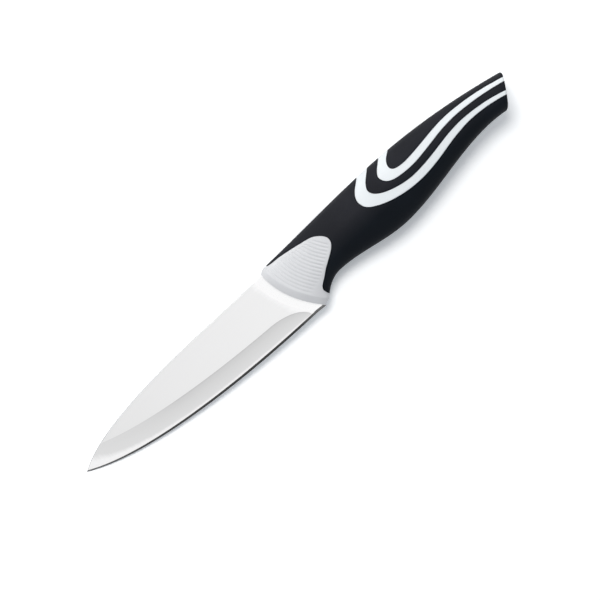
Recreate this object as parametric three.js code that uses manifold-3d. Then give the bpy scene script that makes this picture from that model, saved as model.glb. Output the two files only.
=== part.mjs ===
// A small kitchen knife: a ground stainless blade, a white core moulded round its tang, and a black soft grip
// moulded over the core so that two ridges of the core show as stripes. Millimetres.
// It lies on its side with the tip towards -X, the spine towards +Y and its thickness along Z.
// While it is drawn, X = 0 lies just behind the top of the collar's front and Y = 0 is the line of the spine.
import * as THREE from "three";
import { mergeVertices } from "three/addons/utils/BufferGeometryUtils.js";
import Module from "manifold-3d";

// Blade
const bladeLength = 91.2; // from the tip to X = 0
const bladeHeight = 22.6; // where the edge meets the ricasso
const bladeThickness = 1.5; // between the two flat cheeks
const tipDrop = 8.5; // how far the tip lies below the spine line
const spineCurve = 58; // how far the spine goes on curving behind the tip
const bevelWidth = 7.2; // of the ground face, before it runs out
const bevelTipWidth = 7.9; // of the ground face, at the tip
const bevelHollow = 0.07; // how deeply the ground face is hollowed
const edgeWidth = 0.8; // of the honed strip beside the edge
const edgeTipWidth = 0.45; // of the honed strip, at the tip
const edgeShoulder = 0.36; // thickness where the honed strip begins
const edgeThickness = 0.06; // thickness of the edge itself
const plungeLength = 14.7; // of the arc in which the ground face runs out
const plungeGap = 1.7; // from the end of that arc to the ricasso

// How strongly each end bends the edge and the spine, as shares of the curve's length and drop
const edgeTipPull = { along: 0.203, down: 0.76 };
const edgeHeelPull = 0.37;
const spineTipPull = { along: 0.12, up: 0.54 };
const spineBackPull = 0.58;

// Ricasso and tang, one plate with the blade
const stockThickness = 1.6;
const ricassoWidth = 3.8; // the strip left unground in front of the collar
const seatDrop = 0.6; // from the spine line down to the shoulder inside the collar
const seatHeight = 18;
const heelDrop = 0.3; // from the edge's end down to the heel, at the foot of the collar
const tangRoot = 10; // where the shoulder has narrowed to the tang
const tangLength = 62; // from X = 0 to the end of the tang
const tangDrop = 4.6; // from the spine line down to the tang
const tangHeight = 8;
const tangHoleDiameter = 4;
const tangHoleFirst = 24; // from X = 0 to the first hole
const tangHolePitch = 22;
const tangHoleCount = 2;

// Handle seen from the side: heights are from the spine line, places are from the front or from the butt
const handleLength = 108.8; // along its top
const guardSweep = 10.1; // how far the foot of the collar lies behind its top
const buttSlant = 7.3; // how far the foot of the butt lies in front of its top
const frontLead = 0.36; // how far the collar's front stands ahead of X = 0 at its ends
const frontBulge = 3.1; // how far it bows on towards the tip between them
const bulgeReach = 33; // how far back the bow fades out
const collarRise = 1.5;
const humpRise = 2.5;
const humpAt = 48;
const buttFall = 4.9;
const guardDepth = 23.5;
const neckDepth = 17.1;
const neckAt = 11;
const bellyDepth = 20.8;
const bellyAt = 39;
const waistDepth = 15.5;
const waistBefore = 8.3;
const buttDepth = 16.2;

// Handle thickness and rounding
const collarThickness = 11.8;
const bellyThickness = 16.8;
const thickestAt = 47;
const waistThickness = 13;
const thinnestBefore = 15;
const buttThickness = 14.2;
const noseLength = 2.4; // of the bevel round the collar's front
const noseDepth = 2; // of that bevel, over the thickness
const noseCorner = 1.1; // of that bevel, at spine and foot
const buttRound = 1;
const sectionFullness = 2.4; // 2 is an ellipse, more is squarer
const bevelFullness = 1.25; // 2 is a quarter round, 1 is a flat bevel

// Core and grip
const skinThickness = 1.8; // of the soft grip over the core
const fitGap = 0.1; // between pieces that are moulded together
const coreStart = 5; // how far behind the collar's front the core begins

// Ribs of the collar
const ribPitch = 1.25;
const ribGroove = 0.8; // width of the groove between two ribs
const ribDepth = 0.3;
const ribStart = 3.2; // from the collar's front, square to it, to the first groove
const ribRim = 0.9; // smooth border left inside the collar's edge
const ribReach = 0.74; // how near to spine and foot the grooves run, 1 being the outline itself
const ribCount = 15;
const ribField = 0.4; // share of the handle that the band of grooves may reach along

// Paths on the side of the handle: share of its length behind the front, then height from -1 foot to 1 spine
const tonguePath = [
  [0.028, 1.3],
  [0.029, 1.03],
  [0.036, 0.94],
  [0.083, 0.867],
  [0.143, 0.708],
  [0.19, 0.539],
  [0.209, 0.182],
  [0.181, -0.196],
  [0.094, -0.67],
  [0.046, -0.791],
  [0.034, -0.9],
  [0.03, -1.04],
  [0.03, -1.3],
];
const outerStripeFront = [
  [0.476, 1.3],
  [0.427, 0.963],
  [0.384, 0.665],
  [0.367, 0.359],
  [0.382, 0.059],
  [0.452, -0.219],
  [0.558, -0.403],
  [0.665, -0.405],
  [0.77, -0.256],
  [0.85, -0.17],
  [0.945, -0.199],
  [1.07, -0.34],
];
const outerStripeBack = [
  [0.514, 1.3],
  [0.471, 0.965],
  [0.431, 0.664],
  [0.417, 0.415],
  [0.438, 0.164],
  [0.495, -0.046],
  [0.569, -0.16],
  [0.663, -0.123],
  [0.765, 0.027],
  [0.833, 0.082],
  [0.937, 0.034],
  [1.07, -0.16],
];
const innerStripeFront = [
  [0.564, 1.3],
  [0.522, 0.976],
  [0.483, 0.664],
  [0.475, 0.462],
  [0.49, 0.259],
  [0.528, 0.15],
  [0.592, 0.109],
  [0.66, 0.177],
  [0.76, 0.363],
  [0.825, 0.433],
  [0.924, 0.463],
  [1.07, 0.43],
];
const innerStripeBack = [
  [0.605, 1.3],
  [0.562, 0.992],
  [0.533, 0.772],
  [0.522, 0.564],
  [0.53, 0.42],
  [0.555, 0.356],
  [0.592, 0.354],
  [0.658, 0.435],
  [0.756, 0.62],
  [0.82, 0.684],
  [0.917, 0.71],
  [1.07, 0.61],
];

// Fineness of the curved surfaces
const ringPoints = 24;
const handleSteps = 25;
const roundSteps = 3;
const pathSteps = 40;
const edgeSteps = 20;
const plungeSteps = 8;
const arcSteps = 10;
const ribSteps = 6;

const lerp = THREE.MathUtils.lerp;
const lowLength = handleLength - guardSweep - buttSlant;
const beyond = 60; // clear of the knife on every side
const past = 1.01; // a cut that leaves a face ends a little past it
const ribOverrun = 1.1; // each notch runs past the band that it is kept in
const wasm = await Module();
wasm.setup();

function solidFrom(geometry) {
  const bare = geometry.clone();
  bare.deleteAttribute("normal");
  bare.deleteAttribute("uv");
  const merged = mergeVertices(bare, 1e-4);
  const vertProperties = new Float32Array(merged.attributes.position.array);
  const triVerts = new Uint32Array(merged.index.array);
  return new wasm.Manifold(new wasm.Mesh({ numProp: 3, vertProperties, triVerts }));
}

function geometryFrom(solid) {
  const mesh = solid.getMesh();
  const geometry = new THREE.BufferGeometry();
  geometry.setAttribute("position", new THREE.BufferAttribute(mesh.vertProperties, 3));
  geometry.setIndex(new THREE.BufferAttribute(mesh.triVerts, 1));
  const flat = geometry.toNonIndexed();
  flat.computeVertexNormals();
  return flat;
}

// A plate of an outline in X and Y, centred on Z = 0
function plate(shape, thickness) {
  const settings = { depth: thickness, bevelEnabled: false, curveSegments: arcSteps };
  const geometry = new THREE.ExtrudeGeometry(shape, settings);
  geometry.translate(0, 0, -thickness / 2);
  return solidFrom(geometry);
}

// A skin through rings of equal length, closed at both ends with the given triangles of a ring
function loft(rings, cap) {
  const count = rings[0].length;
  const last = (rings.length - 1) * count;
  const indices = [];
  for (let r = 0; r + 1 < rings.length; r += 1) {
    for (let i = 0; i < count; i += 1) {
      const a = r * count + i;
      const b = r * count + ((i + 1) % count);
      indices.push(a, b, a + count, b, b + count, a + count);
    }
  }
  for (const [a, b, c] of cap) {
    indices.push(c, b, a, last + a, last + b, last + c);
  }
  const geometry = new THREE.BufferGeometry().setFromPoints(rings.flat());
  geometry.setIndex(indices);
  return solidFrom(geometry);
}

// The same rings on the other side of the knife, in the order that keeps the skin facing out
const otherSide = (rings) =>
  rings.map((ring) => ring.map((point) => new THREE.Vector3(point.x, point.y, -point.z))).reverse();

// Eases between two places: level at the start, level at the end, or level at both
const easeIn = (t) => t * t;
const easeOut = (t) => t * (2 - t);
const easeBoth = (t) => t * t * (3 - 2 * t);

// The value at a place among stations of the form [place, value, ease that leads to it]
function along(stations, place) {
  let next = 1;
  while (next < stations.length - 1 && place > stations[next][0]) {
    next += 1;
  }
  const [fromPlace, fromValue] = stations[next - 1];
  const [toPlace, toValue, ease] = stations[next];
  return lerp(fromValue, toValue, ease((place - fromPlace) / (toPlace - fromPlace)));
}

const topLine = [
  [0, collarRise],
  [humpAt / handleLength, humpRise, easeBoth],
  [1, -buttFall, easeIn],
];
const lowLine = [
  [0, -guardDepth],
  [neckAt / lowLength, -neckDepth, easeOut],
  [bellyAt / lowLength, -bellyDepth, easeBoth],
  [1 - waistBefore / lowLength, -waistDepth, easeBoth],
  [1, -buttDepth, easeIn],
];
const thicknessLine = [
  [0, collarThickness],
  [thickestAt / handleLength, bellyThickness, easeBoth],
  [1 - thinnestBefore / handleLength, waistThickness, easeBoth],
  [1, buttThickness, easeIn],
];

// A place on the side of the handle, given as on the paths above
function onHandle(share, up) {
  const rise = (up + 1) / 2;
  const fade = Math.max(0, 1 - (share * handleLength) / bulgeReach);
  const bulge = (frontLead + frontBulge * (1 - up * up)) * fade * fade;
  const x = lerp(guardSweep + lowLength * share, handleLength * share, rise) - bulge;
  const y = lerp(along(lowLine, share), along(topLine, share), rise);
  return new THREE.Vector2(x, y);
}

// The share and the height at which the paths reach a place on the side of the handle
function pathPlace(x, y) {
  let share = x / handleLength;
  let up = 0;
  for (let i = 0; i < 12; i += 1) {
    const low = along(lowLine, share);
    up = (2 * (y - low)) / (along(topLine, share) - low) - 1;
    share += (x - onHandle(share, up).x) / handleLength;
  }
  return { share, up };
}

// How far the handle's surface stands out at a place seen from the side
function sideHeight(x, y) {
  const { share, up } = pathPlace(x, y);
  const rest = Math.max(0, 1 - Math.abs(up) ** sectionFullness);
  return (along(thicknessLine, share) / 2) * rest ** (1 / sectionFullness);
}

// One oval section of the handle, drawn in over its thickness and over its height
function handleRing(share, sideInset, endInset) {
  const halfHeight = (along(topLine, share) - along(lowLine, share)) / 2;
  const halfThickness = along(thicknessLine, share) / 2 - sideInset;
  const squeeze = 1 - endInset / halfHeight;
  const full = (value) => Math.sign(value) * Math.abs(value) ** (2 / sectionFullness);
  const ring = [];
  for (let i = 0; i < ringPoints; i += 1) {
    const angle = (2 * Math.PI * i) / ringPoints;
    const point = onHandle(share, full(Math.cos(angle)) * squeeze);
    ring.push(new THREE.Vector3(point.x, point.y, full(Math.sin(angle)) * halfThickness));
  }
  return ring;
}

// The handle between two places, drawn in by an inset, its front bevelled and its butt rounded over
function handleBody(start, end, inset, front) {
  const rings = [];
  for (let i = 0; i < roundSteps; i += 1) {
    const angle = (Math.PI / 2) * (i / roundSteps);
    const share = (start + front.length * (1 - Math.cos(angle) ** (2 / bevelFullness))) / handleLength;
    const drawn = 1 - Math.sin(angle) ** (2 / bevelFullness);
    rings.push(handleRing(share, inset + front.depth * drawn, inset + front.corner * drawn));
  }
  for (let i = 0; i <= handleSteps; i += 1) {
    const share = lerp(start + front.length, end - buttRound, i / handleSteps) / handleLength;
    rings.push(handleRing(share, inset, inset));
  }
  for (let i = 1; i <= roundSteps; i += 1) {
    const angle = (Math.PI / 2) * (i / roundSteps);
    const share = (end - buttRound * (1 - Math.sin(angle))) / handleLength;
    const drawn = inset + buttRound * (1 - Math.cos(angle));
    rings.push(handleRing(share, drawn, drawn));
  }
  const cap = [];
  const half = ringPoints / 2;
  cap.push([0, 1, ringPoints - 1]);
  for (let i = 1; i < half; i += 1) {
    const facing = ringPoints - i;
    cap.push([i, i + 1, facing]);
    if (i + 1 < half) {
      cap.push([i + 1, facing - 1, facing]);
    }
  }
  return loft(rings, cap);
}

// A smooth path on the side of the handle, moved to its left by a distance
function pathLine(path, shift) {
  const curve = new THREE.SplineCurve(path.map(([share, up]) => new THREE.Vector2(share, up)));
  const line = curve.getPoints(pathSteps).map((point) => onHandle(point.x, point.y));
  return line.map((point, i) => {
    const before = line[Math.max(0, i - 1)];
    const after = line[Math.min(pathSteps, i + 1)];
    const side = after.clone().sub(before).normalize();
    return new THREE.Vector2(point.x - side.y * shift, point.y + side.x * shift);
  });
}

// The black and white areas of the handle, as plates that reach right through it
function stripeArea(front, back) {
  const line = [...pathLine(front, 0), ...pathLine(back, 0).reverse()];
  return plate(new THREE.Shape(line), beyond);
}

function areaBehind(path, shift) {
  const line = pathLine(path, shift);
  const foot = new THREE.Vector2(handleLength + beyond, line[pathSteps].y);
  const corner = new THREE.Vector2(handleLength + beyond, beyond);
  const head = new THREE.Vector2(line[0].x, beyond);
  return plate(new THREE.Shape([...line, foot, corner, head]), beyond);
}

function collarArea(grow) {
  const line = pathLine(tonguePath, grow);
  const foot = new THREE.Vector2(-beyond, line[pathSteps].y);
  const head = new THREE.Vector2(-beyond, line[0].y);
  return plate(new THREE.Shape([...line, foot, head]), beyond);
}

// The bowed front of the collar at a height, and as a line between two heights, moved back by a distance
function frontPoint(height, back) {
  const up = (2 * (height + guardDepth)) / (collarRise + guardDepth) - 1;
  return new THREE.Vector2(onHandle(0, up).x + back, height);
}

function frontLine(fromHeight, toHeight, back, steps) {
  const line = [];
  for (let i = 0; i <= steps; i += 1) {
    line.push(frontPoint(lerp(fromHeight, toHeight, i / steps), back));
  }
  return line;
}

// The hidden shoulder and tang, from the collar's front round to the collar's front again
function tangLine(grow) {
  const seatTop = -seatDrop + grow;
  const seatFoot = -seatDrop - seatHeight - grow;
  const tangTop = -tangDrop + grow;
  const tangFoot = -tangDrop - tangHeight - grow;
  const radius = (tangTop - tangFoot) / 2;
  const centre = new THREE.Vector2(tangLength + grow - radius, (tangTop + tangFoot) / 2);
  const end = new THREE.EllipseCurve(centre.x, centre.y, radius, radius, Math.PI / 2, -Math.PI / 2, true);
  return [
    frontPoint(seatTop, 0),
    new THREE.Vector2(tangRoot, tangTop),
    ...end.getPoints(arcSteps),
    new THREE.Vector2(tangRoot, tangFoot),
    frontPoint(seatFoot, 0),
  ];
}

function cutTangHoles(shape, radius) {
  for (let i = 0; i < tangHoleCount; i += 1) {
    const hole = new THREE.Path();
    const x = tangHoleFirst + i * tangHolePitch;
    hole.absarc(x, -tangDrop - tangHeight / 2, radius, 0, 2 * Math.PI, false);
    shape.holes.push(hole);
  }
}

const honeReach = 1.5; // the honing stone reaches past the strip that it leaves
const tip = new THREE.Vector2(-bladeLength, -tipDrop);
const edgeEnd = frontPoint(-bladeHeight, -ricassoWidth);
const heel = frontPoint(-bladeHeight - heelDrop, -fitGap);
const edgeRise = bladeHeight - tipDrop;
const edgeReach = edgeEnd.x - tip.x;
const edgeBend = new THREE.CubicBezierCurve(
  tip,
  new THREE.Vector2(tip.x + edgeReach * edgeTipPull.along, tip.y - edgeRise * edgeTipPull.down),
  new THREE.Vector2(edgeEnd.x - edgeReach * edgeHeelPull, edgeEnd.y),
  edgeEnd,
);
const edgeCurve = new THREE.CurvePath();
edgeCurve.add(edgeBend);
edgeCurve.add(new THREE.LineCurve(edgeEnd, heel));
const spineLine = new THREE.CubicBezierCurve(
  tip,
  new THREE.Vector2(tip.x + spineCurve * spineTipPull.along, tip.y + tipDrop * spineTipPull.up),
  new THREE.Vector2(tip.x + spineCurve * (1 - spineBackPull), 0),
  new THREE.Vector2(tip.x + spineCurve, 0),
);

// Half the thickness that grinding leaves at a distance from the edge
function groundHeight(inward, { width, strip }) {
  const t = THREE.MathUtils.clamp((inward - strip) / (width - strip), 0, 1);
  return lerp(edgeShoulder / 2, bladeThickness / 2, t) - 4 * bevelHollow * t * (1 - t);
}

// What is ground off one side, in section: a hollow wedge
function grindSection(at) {
  const face = [0, 0.25, 0.5, 0.75, 1].map((t) => {
    const inward = lerp(at.strip, at.width, t);
    return [inward, groundHeight(inward, at)];
  });
  const outside = [
    [at.width, bladeThickness],
    [-bladeThickness, bladeThickness],
    [-bladeThickness, edgeShoulder / 2],
  ];
  return [...face, ...outside];
}

// What is honed off one side, in section: a steeper strip beside the edge
function honeSection(at) {
  const foot = edgeThickness / 2;
  const head = lerp(foot, groundHeight(at.strip + at.slide, at), honeReach);
  return [
    [-bladeThickness, foot],
    [0, foot],
    [honeReach * at.strip, head],
    [honeReach * at.strip, bladeThickness],
    [-bladeThickness, bladeThickness],
  ];
}

// A section set at a place along the edge, moved out of the blade or ahead of its place
function sectionRing(section, share, out, ahead) {
  const point = edgeCurve.getPoint(share);
  const side = edgeCurve.getTangent(share);
  return section.map(([inward, z]) => {
    const step = inward - out;
    const x = point.x - side.x * ahead - side.y * step;
    const y = point.y - side.y * ahead + side.x * step;
    return new THREE.Vector3(x, y, z);
  });
}

// Where on the edge curve a place along X lies
function edgeShare(x) {
  let low = 0;
  let high = 1;
  for (let i = 0; i < 40; i += 1) {
    const middle = (low + high) / 2;
    const short = edgeCurve.getPoint(middle).x < x;
    low = short ? middle : low;
    high = short ? high : middle;
  }
  return low;
}

// Places along the edge: widths of the honed strip and the ground face, and how far that has slid off it
function edgeStations() {
  const plungeEnd = edgeEnd.x - plungeGap;
  const plungeStart = plungeEnd - plungeLength;
  const stations = [];
  for (let i = 0; i < edgeSteps; i += 1) {
    const t = i / edgeSteps;
    const width = lerp(bevelTipWidth, bevelWidth, easeIn(t));
    const strip = lerp(edgeTipWidth, edgeWidth, easeOut(t));
    stations.push({ share: edgeShare(lerp(tip.x, plungeStart, t)), width, strip, slide: 0 });
  }
  for (let i = 0; i <= plungeSteps; i += 1) {
    const angle = (Math.PI / 2) * (i / plungeSteps);
    const share = edgeShare(lerp(plungeStart, plungeEnd, Math.sin(angle)));
    const slide = past * bevelWidth * (1 - Math.cos(angle));
    stations.push({ share, width: bevelWidth, strip: edgeWidth, slide });
  }
  return stations;
}

function cutBothSides(blade, rings) {
  const contour = rings[0].map(({ y, z }) => new THREE.Vector2(y, z));
  const cap = THREE.ShapeUtils.triangulateShape(contour, []);
  return blade.subtract(loft(rings, cap)).subtract(loft(otherSide(rings), cap));
}

// The blade between the tip and the ricasso, before it is ground
function bladeBlank() {
  const outline = [
    ...spineLine.getPoints(edgeSteps),
    ...frontLine(0, -bladeHeight, -ricassoWidth / 2, arcSteps),
    ...edgeBend.getPoints(edgeSteps).reverse(),
  ];
  return plate(new THREE.Shape(outline), bladeThickness);
}

// The ricasso and the tang
function bladeStock() {
  const outline = [
    ...frontLine(-bladeHeight, 0, -ricassoWidth, arcSteps),
    ...frontLine(0, -seatDrop, -fitGap, 1),
    ...tangLine(0),
    ...frontLine(-seatDrop - seatHeight, heel.y, -fitGap, arcSteps / 2),
  ];
  const shape = new THREE.Shape(outline);
  cutTangHoles(shape, tangHoleDiameter / 2);
  return plate(shape, stockThickness);
}

function bladeSolid() {
  const stations = edgeStations();
  const first = stations[0];
  const last = stations[stations.length - 1];
  const ground = stations.map((at) => sectionRing(grindSection(at), at.share, at.slide, 0));
  const honed = stations.map((at) => sectionRing(honeSection(at), at.share, 0, 0));
  ground.unshift(sectionRing(grindSection(first), 0, 0, bevelWidth));
  honed.unshift(sectionRing(honeSection(first), 0, 0, bevelWidth));
  honed.push(sectionRing(honeSection(last), edgeShare(edgeEnd.x), 0, 0));
  honed.push(sectionRing(honeSection(last), 1, 0, -bladeThickness));
  return cutBothSides(cutBothSides(bladeBlank().add(bladeStock()), ground), honed);
}

function tangPocket() {
  const line = tangLine(fitGap);
  const head = new THREE.Vector2(-beyond, line[0].y);
  const foot = new THREE.Vector2(-beyond, line[line.length - 1].y);
  const shape = new THREE.Shape([head, ...line, foot]);
  cutTangHoles(shape, tangHoleDiameter / 2 - fitGap);
  return plate(shape, stockThickness + 2 * fitGap);
}

// A place behind the collar's front, square to it, and the way across
function behindFront(height, back) {
  const rise = frontPoint(height + fitGap, 0).sub(frontPoint(height - fitGap, 0)).normalize();
  const across = new THREE.Vector2(rise.y, -rise.x);
  return { place: frontPoint(height, 0).addScaledVector(across, back), across };
}

// The height on the collar's front from which the line behind it reaches a path's height
function ribEnd(back, up) {
  let low = -guardDepth;
  let high = collarRise;
  for (let i = 0; i < 30; i += 1) {
    const middle = (low + high) / 2;
    const { x, y } = behindFront(middle, back).place;
    const short = pathPlace(x, y).up < up;
    low = short ? middle : low;
    high = short ? high : middle;
  }
  return low;
}

// Notches between the ribs: parallel to the collar's front and sunk to one depth, on both sides
function cutRibs(collar) {
  const band = [ribReach, -ribReach].map((up) => {
    const line = [];
    for (let i = 0; i <= handleSteps; i += 1) {
      line.push(onHandle((ribField * i) / handleSteps, up));
    }
    return line;
  });
  const bandArea = plate(new THREE.Shape([...band[0], ...band[1].reverse()]), beyond);
  const field = collarArea(-ribRim).intersect(bandArea);
  const notch = [
    [-ribGroove, ribDepth],
    [0, -ribDepth],
    [ribGroove, ribDepth],
  ];
  let ribbed = collar;
  for (let i = 0; i < ribCount; i += 1) {
    const back = ribStart + i * ribPitch;
    const head = ribEnd(back, ribOverrun * ribReach);
    const foot = ribEnd(back, -ribOverrun * ribReach);
    const rings = [];
    for (let step = 0; step <= ribSteps; step += 1) {
      const { place, across } = behindFront(lerp(head, foot, step / ribSteps), back);
      const z = sideHeight(place.x, place.y);
      const spot = (wide) => place.clone().addScaledVector(across, wide);
      rings.push(notch.map(([wide, out]) => new THREE.Vector3(spot(wide).x, spot(wide).y, z + out)));
    }
    for (const side of [rings, otherSide(rings)]) {
      ribbed = ribbed.subtract(loft(side, [[0, 1, 2]]).intersect(field));
    }
  }
  return ribbed;
}

function material(color, roughness, metalness) {
  return new THREE.MeshStandardMaterial({ color, roughness, metalness });
}

function piece(name, solid, look) {
  const mesh = new THREE.Mesh(geometryFrom(solid), look);
  mesh.name = name;
  return mesh;
}

const steel = material(0xe2e3e4, 0.3, 1);
const whitePlastic = material(0xeaeff2, 0.45, 0);
const blackRubber = material(0x24252a, 0.8, 0);

const nose = { length: noseLength, depth: noseDepth, corner: noseCorner };
const coreNose = { length: buttRound, depth: buttRound, corner: buttRound };
const handle = handleBody(0, handleLength, 0, nose);
const coreEnd = handleLength - skinThickness;
const core = handleBody(coreStart, coreEnd, skinThickness, coreNose);
const coreCut = handleBody(coreStart, coreEnd + fitGap, skinThickness - fitGap, coreNose);

function coreSolid() {
  const outerStripe = stripeArea(outerStripeFront, outerStripeBack);
  const innerStripe = stripeArea(innerStripeFront, innerStripeBack);
  const shown = collarArea(0).add(outerStripe).add(innerStripe);
  return cutRibs(handle.intersect(shown).add(core).subtract(tangPocket()));
}

const shell = handle.subtract(coreCut).subtract(collarArea(fitGap));
const sleeve = shell.subtract(areaBehind(outerStripeFront, -fitGap));
const behindOuter = shell.intersect(areaBehind(outerStripeBack, fitGap));
const band = behindOuter.subtract(areaBehind(innerStripeFront, -fitGap));
const island = shell.intersect(areaBehind(innerStripeBack, fitGap));
const knife = new THREE.Group();
knife.add(piece("blade", bladeSolid(), steel));
knife.add(piece("handle_core", coreSolid(), whitePlastic));
knife.add(piece("grip_sleeve", sleeve, blackRubber));
knife.add(piece("grip_band", band, blackRubber));
knife.add(piece("grip_island", island, blackRubber));

// The finished frame: on the floor, centred over it
const box = new THREE.Box3().setFromObject(knife);
const middle = box.getCenter(new THREE.Vector3());
knife.position.set(-middle.x, -middle.y, -box.min.z);
const part = new THREE.Group();
part.add(knife);

export default part;
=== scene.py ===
# A small kitchen knife lying on a pale table: ground steel blade, white moulded core, soft black grip.
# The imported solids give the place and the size. The same curves are drawn again here at a finer step,
# in millimetres, and each finished piece is then set into the frame. While it is drawn, X = 0 lies just
# behind the top of the collar's front and Y = 0 is the line of the blade's spine.
from math import atan, copysign, cos, pi, radians, sin

import bpy
import numpy as np
from mathutils import Matrix, Vector


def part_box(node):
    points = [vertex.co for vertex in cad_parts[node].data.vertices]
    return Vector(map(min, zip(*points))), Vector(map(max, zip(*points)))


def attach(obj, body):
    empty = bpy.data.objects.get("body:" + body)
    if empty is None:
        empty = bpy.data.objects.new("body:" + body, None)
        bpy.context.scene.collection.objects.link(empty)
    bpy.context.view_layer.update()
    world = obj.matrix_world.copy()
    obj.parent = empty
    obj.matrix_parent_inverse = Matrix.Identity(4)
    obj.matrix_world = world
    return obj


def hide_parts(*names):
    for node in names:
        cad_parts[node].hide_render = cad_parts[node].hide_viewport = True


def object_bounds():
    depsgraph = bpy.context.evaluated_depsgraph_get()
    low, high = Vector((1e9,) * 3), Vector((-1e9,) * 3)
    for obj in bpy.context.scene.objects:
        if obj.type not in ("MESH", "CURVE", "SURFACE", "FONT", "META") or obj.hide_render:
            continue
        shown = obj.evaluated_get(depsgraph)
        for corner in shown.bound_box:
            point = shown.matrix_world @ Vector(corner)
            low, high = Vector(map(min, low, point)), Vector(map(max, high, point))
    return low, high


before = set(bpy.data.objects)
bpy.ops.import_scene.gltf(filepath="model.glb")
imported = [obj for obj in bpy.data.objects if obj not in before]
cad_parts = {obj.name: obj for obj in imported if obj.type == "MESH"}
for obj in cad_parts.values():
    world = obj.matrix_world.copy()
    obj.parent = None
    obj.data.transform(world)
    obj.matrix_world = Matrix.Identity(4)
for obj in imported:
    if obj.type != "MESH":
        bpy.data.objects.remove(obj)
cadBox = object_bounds()
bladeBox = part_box("blade")
print("frame loaded", sorted(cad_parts))


# small tools

millimetre = 0.001
mergeWithin = 0.0005
sliverWithin = 0.0002
through = 20  # deep enough for a cut through the blade
farOut = 60  # well past every edge of the handle


def mix(a, b, t):
    return a + (b - a) * t


def easeIn(t):
    return t * t


def easeOut(t):
    return t * (2 - t)


def easeBoth(t):
    return t * t * (3 - 2 * t)


def along(stations, place):  # stations are (place, value, ease that leads to it)
    n = 1
    while n < len(stations) - 1 and place > stations[n][0]:
        n += 1
    fromPlace, fromValue = stations[n - 1][:2]
    toPlace, toValue, ease = stations[n]
    return mix(fromValue, toValue, ease((place - fromPlace) / (toPlace - fromPlace)))


def halved(low, high, isBelow, steps=40):  # the last place that is still below, found by halving
    for _ in range(steps):
        middle = (low + high) / 2
        low, high = (middle, high) if isBelow(middle) else (low, middle)
    return low


def bezier(points, t):
    a, b, c, d = points
    return a * (1 - t) ** 3 + b * (3 * t * (1 - t) ** 2) + c * (3 * t * t * (1 - t)) + d * t ** 3


def bezierSlope(points, t):
    a, b, c, d = points
    return ((b - a) * (1 - t) ** 2 + (c - b) * (2 * t * (1 - t)) + (d - c) * t * t).normalized()


def deselectAll():
    if bpy.context.object and bpy.context.object.mode != "OBJECT":
        bpy.ops.object.mode_set(mode="OBJECT")
    bpy.ops.object.select_all(action="DESELECT")


def pick(piece):
    deselectAll()
    piece.select_set(True)
    bpy.context.view_layer.objects.active = piece


def mend(piece):  # merge doubles, then faces outwards
    pick(piece)
    bpy.ops.object.mode_set(mode="EDIT")
    bpy.ops.mesh.select_all(action="SELECT")
    bpy.ops.mesh.remove_doubles(threshold=mergeWithin)
    bpy.ops.mesh.dissolve_degenerate(threshold=sliverWithin)
    bpy.ops.mesh.normals_make_consistent(inside=False)
    bpy.ops.object.mode_set(mode="OBJECT")


def halfForm(name, columns, rows, spots):  # a grid pulled to its spots, above the middle plane
    deselectAll()
    bpy.ops.mesh.primitive_grid_add(x_subdivisions=columns - 1, y_subdivisions=rows - 1, size=1)
    piece = bpy.context.object
    piece.name = name
    flat = np.empty(columns * rows * 3)
    piece.data.vertices.foreach_get("co", flat)
    flat = flat.reshape(-1, 3)
    column = np.rint((flat[:, 0] + 0.5) * (columns - 1)).astype(int)
    row = np.rint((flat[:, 1] + 0.5) * (rows - 1)).astype(int)
    piece.data.vertices.foreach_set("co", np.asarray(spots)[column, row].ravel())
    return piece


def mirrored(piece):  # across the middle plane, and closed there
    pick(piece)
    mirror = piece.modifiers.new("otherSide", "MIRROR")
    mirror.use_axis = (False, False, True)
    mirror.merge_threshold = mergeWithin
    bpy.ops.object.modifier_apply(modifier="otherSide")
    mend(piece)
    return piece


def slab(name, outline, thickness):  # an outline seen from above, drawn up evenly through the middle plane
    deselectAll()
    bpy.ops.mesh.primitive_circle_add(vertices=len(outline), fill_type="NGON")
    piece = bpy.context.object
    piece.name = name
    for vertex, (x, y) in zip(piece.data.vertices, outline):
        vertex.co = (x, y, -thickness / 2)
    bpy.ops.object.mode_set(mode="EDIT")
    bpy.ops.mesh.select_all(action="SELECT")
    bpy.ops.mesh.extrude_region_move(TRANSFORM_OT_translate={"value": (0, 0, thickness)})
    bpy.ops.mesh.select_all(action="SELECT")
    bpy.ops.mesh.normals_make_consistent(inside=False)
    bpy.ops.object.mode_set(mode="OBJECT")
    return piece


def copyOf(piece, name):
    pick(piece)
    bpy.ops.object.duplicate()
    bpy.context.object.name = name
    return bpy.context.object


def throwAway(piece):
    mesh = piece.data
    bpy.data.objects.remove(piece)
    bpy.data.meshes.remove(mesh)


def carve(piece, tool, how):  # the tool is used up
    pick(piece)
    cut = piece.modifiers.new("carve", "BOOLEAN")
    cut.operation = how
    cut.solver = "MANIFOLD"
    cut.object = tool
    bpy.ops.object.modifier_apply(modifier="carve")
    throwAway(tool)
    return piece


# handle: heights are from the blade's spine line, places from the front or from the butt

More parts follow.
